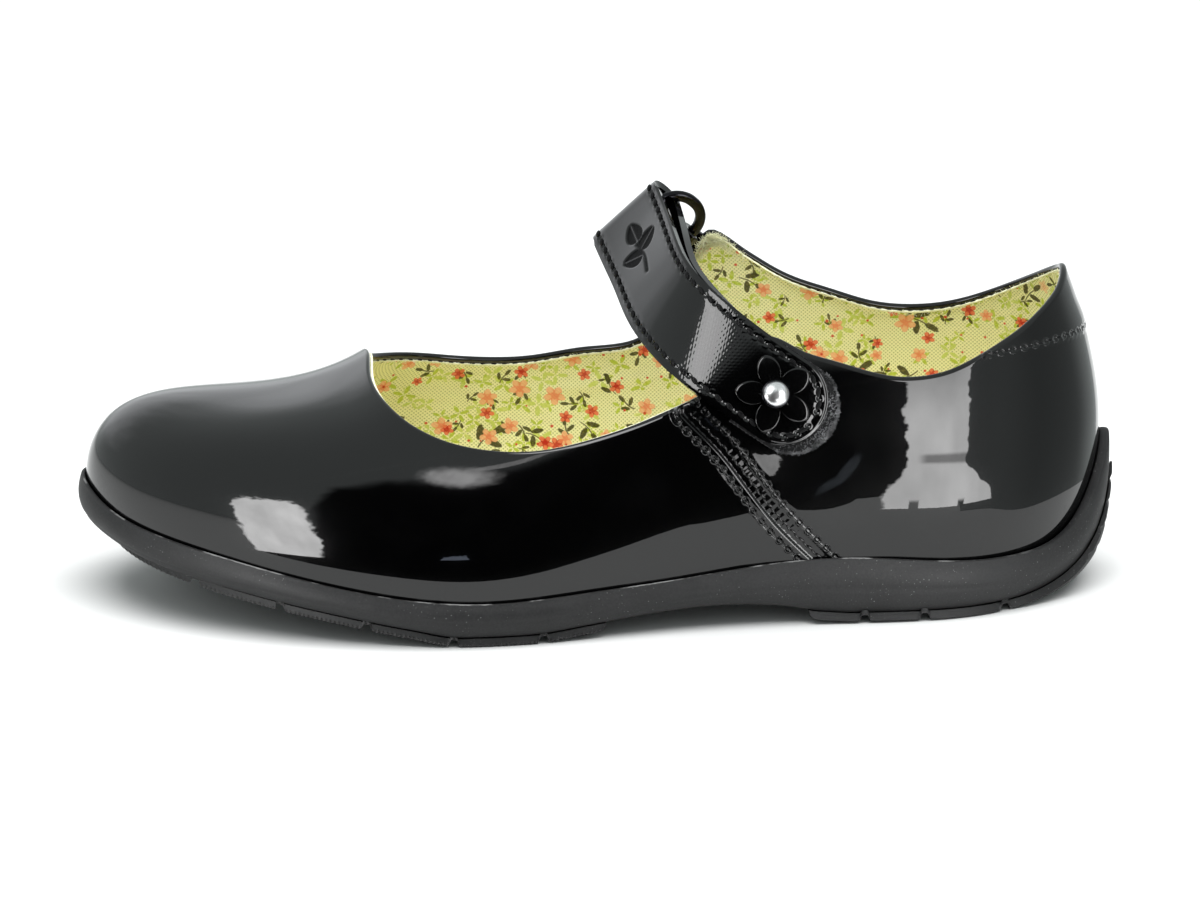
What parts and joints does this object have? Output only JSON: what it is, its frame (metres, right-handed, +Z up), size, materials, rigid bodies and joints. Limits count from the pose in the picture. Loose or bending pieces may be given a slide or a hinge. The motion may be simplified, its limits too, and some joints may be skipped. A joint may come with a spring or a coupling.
{
  "type": "child's ballet flat with an instep strap",
  "caption": "Child's round-toed ballet flat in patent leather with a cup sole, instep strap folded through a ring, flower trim and a printed lining; left foot.",
  "frame": {"origin": "ground level, under the middle of the whole shoe's box", "axes": "+X towards the heel along the shoe, +Y towards the medial side, +Z up"},
  "size_m": [0.2008, 0.0766, 0.0765],
  "materials": {
    "patent": "gloss",
    "rubber": "matte",
    "lining": "plain weave with a small printed flower pattern",
    "fleece": "brushed loops",
    "metal": "polished",
    "ring_metal": "gloss black"
  },
  "bodies": {
    "root": {"upper": "patent", "sole_unit": "rubber", "tread_forefoot": "rubber", "tread_heel": "rubber", "insole": "lining", "strap": "patent", "loop_patch": "fleece", "seam_strip": "patent", "ring": "ring_metal", "ring_tab": "patent", "flower": "patent", "rivet": "metal"}
  },
  "joints": []
}
